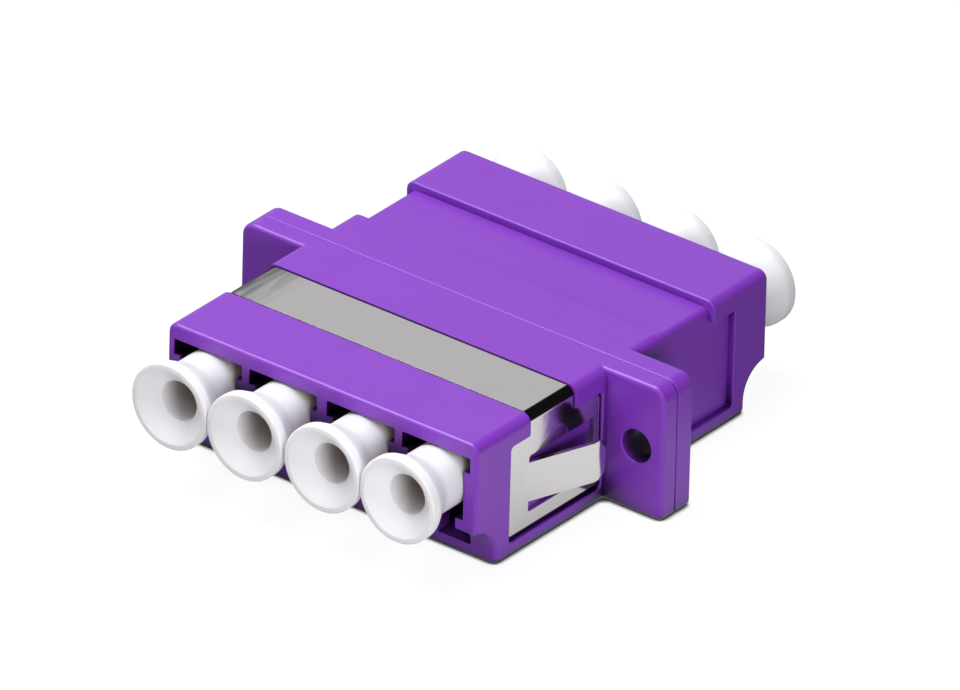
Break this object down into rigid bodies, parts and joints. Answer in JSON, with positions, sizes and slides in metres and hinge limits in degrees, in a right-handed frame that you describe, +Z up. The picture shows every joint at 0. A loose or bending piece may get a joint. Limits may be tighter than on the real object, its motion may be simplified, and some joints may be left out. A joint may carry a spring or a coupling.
{
  "type": "lc fibre adapter",
  "caption": "Violet fibre-optic adapter with a screw flange, a spring panel clip, and dust-capped LC ports at both ends.",
  "frame": {"origin": "on the underside, below the middle of the seam between the two halves", "axes": "+Y out of the rear ports, so the clip's half faces -Y; +X along the flange; +Z up"},
  "size_m": [0.0352, 0.0386, 0.0098],
  "materials": {
    "violet_plastic": "satin moulded plastic",
    "cap_plastic": "soft white moulded plastic",
    "spring_steel": "bright rolled sheet",
    "ceramic": "ground white ceramic"
  },
  "bodies": {
    "adapter": {"front_housing": "violet_plastic", "rear_housing": "violet_plastic", "panel_clip": "spring_steel", "split_sleeve_1": "ceramic", "split_sleeve_2": "ceramic", "split_sleeve_3": "ceramic", "split_sleeve_4": "ceramic"},
    "front_cap_1": {"front_cap_1": "cap_plastic"},
    "front_cap_2": {"front_cap_2": "cap_plastic"},
    "front_cap_3": {"front_cap_3": "cap_plastic"},
    "front_cap_4": {"front_cap_4": "cap_plastic"},
    "rear_cap_1": {"rear_cap_1": "cap_plastic"},
    "rear_cap_2": {"rear_cap_2": "cap_plastic"},
    "rear_cap_3": {"rear_cap_3": "cap_plastic"},
    "rear_cap_4": {"rear_cap_4": "cap_plastic"}
  },
  "joints": [
    {"name": "front_cap_1_pull", "type": "slide", "parent": "adapter", "child": "front_cap_1", "axis": [0, -1, 0], "range_m": [0, 0.012]},
    {"name": "front_cap_2_pull", "type": "slide", "parent": "adapter", "child": "front_cap_2", "axis": [0, -1, 0], "range_m": [0, 0.012]},
    {"name": "front_cap_3_pull", "type": "slide", "parent": "adapter", "child": "front_cap_3", "axis": [0, -1, 0], "range_m": [0, 0.012]},
    {"name": "front_cap_4_pull", "type": "slide", "parent": "adapter", "child": "front_cap_4", "axis": [0, -1, 0], "range_m": [0, 0.012]},
    {"name": "rear_cap_1_pull", "type": "slide", "parent": "adapter", "child": "rear_cap_1", "axis": [0, 1, 0], "range_m": [0, 0.013]},
    {"name": "rear_cap_2_pull", "type": "slide", "parent": "adapter", "child": "rear_cap_2", "axis": [0, 1, 0], "range_m": [0, 0.013]},
    {"name": "rear_cap_3_pull", "type": "slide", "parent": "adapter", "child": "rear_cap_3", "axis": [0, 1, 0], "range_m": [0, 0.013]},
    {"name": "rear_cap_4_pull", "type": "slide", "parent": "adapter", "child": "rear_cap_4", "axis": [0, 1, 0], "range_m": [0, 0.013]}
  ]
}
